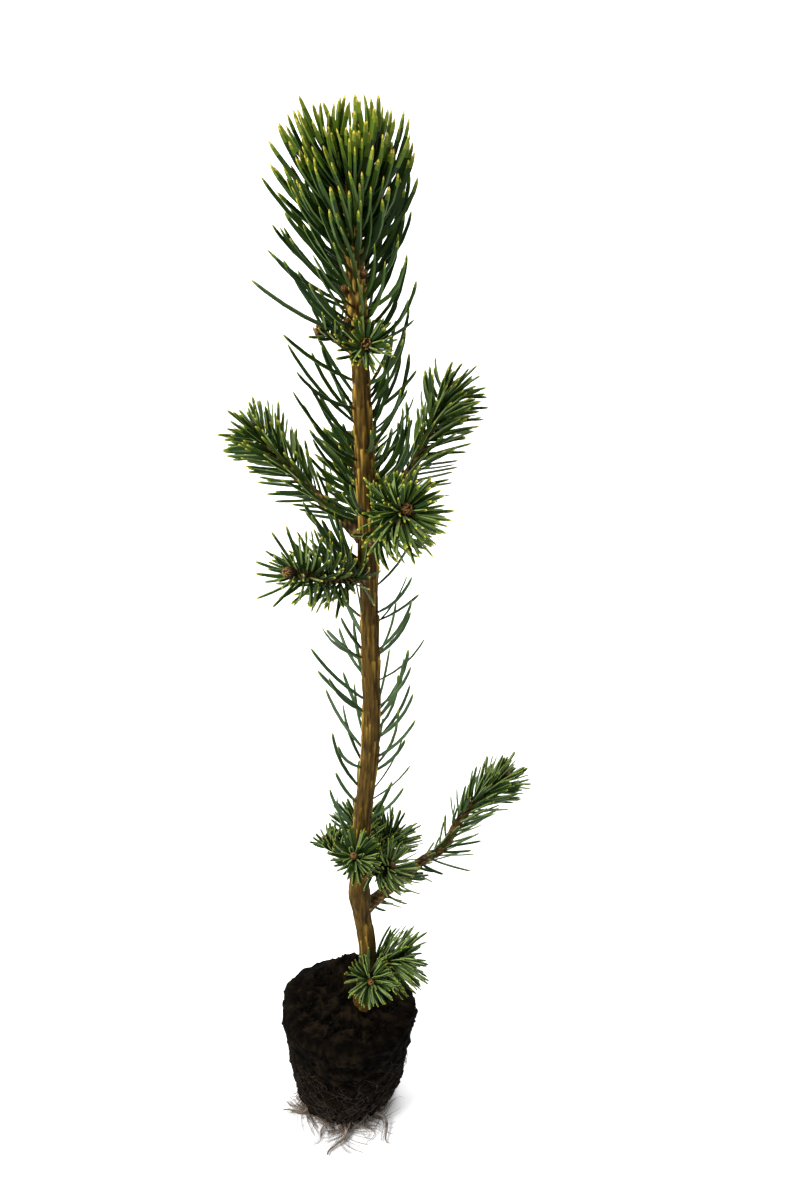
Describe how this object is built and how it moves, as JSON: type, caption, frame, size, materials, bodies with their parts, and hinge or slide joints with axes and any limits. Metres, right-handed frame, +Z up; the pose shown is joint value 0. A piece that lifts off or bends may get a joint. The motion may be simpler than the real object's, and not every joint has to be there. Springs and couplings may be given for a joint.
{
  "type": "norway spruce seedling",
  "caption": "Young conifer seedling with a slender stem, needle-clad side branches and a tapered peat root ball that it stands on.",
  "frame": {"origin": "middle of the root ball's flat underside", "axes": "+Z up along the stem, +X to the right and +Y to the back as the plant is usually seen"},
  "size_m": [0.0825, 0.0693, 0.3198],
  "materials": {
    "bark": "rough grooved bark",
    "needles": "satin dark green needles with yellow tips",
    "peat": "matt crumbly peat",
    "root": "matt fine roots"
  },
  "bodies": {
    "root": {"basal_front_bough": "bark", "basal_front_spray": "needles", "basal_right_bough": "bark", "basal_right_spray": "needles", "leader_front_bough": "bark", "leader_front_spray": "needles", "leader_left_bough": "bark", "leader_left_spray": "needles", "leader_needles_lower": "needles", "leader_needles_middle": "needles", "leader_needles_top": "needles", "lower_back_bough": "bark", "lower_back_spray": "needles", "lower_front_bough": "bark", "lower_front_spray": "needles", "lower_left_bough": "bark", "lower_left_spray": "needles", "lower_right_back_bough": "bark", "lower_right_back_spray": "needles", "lower_right_bough": "bark", "lower_right_front_bough": "bark", "lower_right_front_spray": "needles", "lower_right_spray": "needles", "root_ball": "peat", "root_wisp_front": "root", "root_wisp_left": "root", "root_wisp_right": "root", "stem_needles_lower": "needles", "stem_needles_upper": "needles", "trunk": "bark", "upper_back_bough": "bark", "upper_back_spray": "needles", "upper_front_bough": "bark", "upper_front_spray": "needles", "upper_left_back_bough": "bark", "upper_left_back_spray": "needles", "upper_left_front_bough": "bark", "upper_left_front_spray": "needles", "upper_right_back_bough": "bark", "upper_right_back_spray": "needles"}
  },
  "joints": []
}
